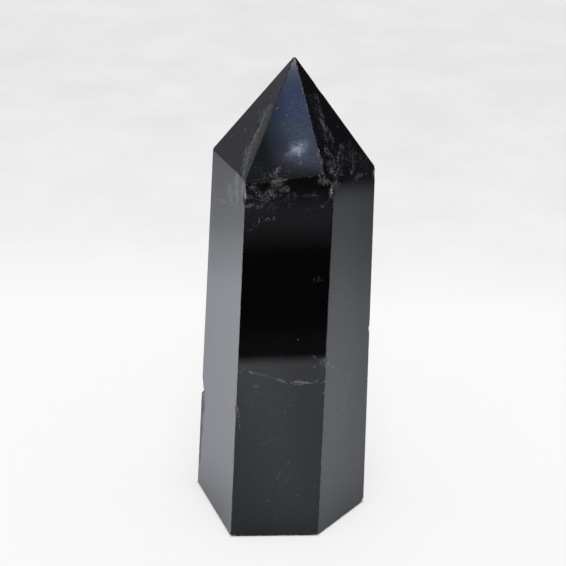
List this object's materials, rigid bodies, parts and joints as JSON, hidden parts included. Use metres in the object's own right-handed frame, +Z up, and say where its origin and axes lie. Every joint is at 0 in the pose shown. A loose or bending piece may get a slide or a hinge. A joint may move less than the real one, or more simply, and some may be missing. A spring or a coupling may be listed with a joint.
{
  "type": "morion quartz crystal",
  "caption": "Polished hexagonal tower of black morion quartz with a faceted point, standing on its flat base.",
  "frame": {"origin": "middle of the bounding box of the flat base, on the surface that the crystal stands on", "axes": "+Z up towards the point, -Y out of the front face"},
  "size_m": [0.036, 0.0324, 0.0996],
  "materials": {
    "morion": "polished"
  },
  "bodies": {
    "root": {"crystal": "morion"}
  },
  "joints": []
}
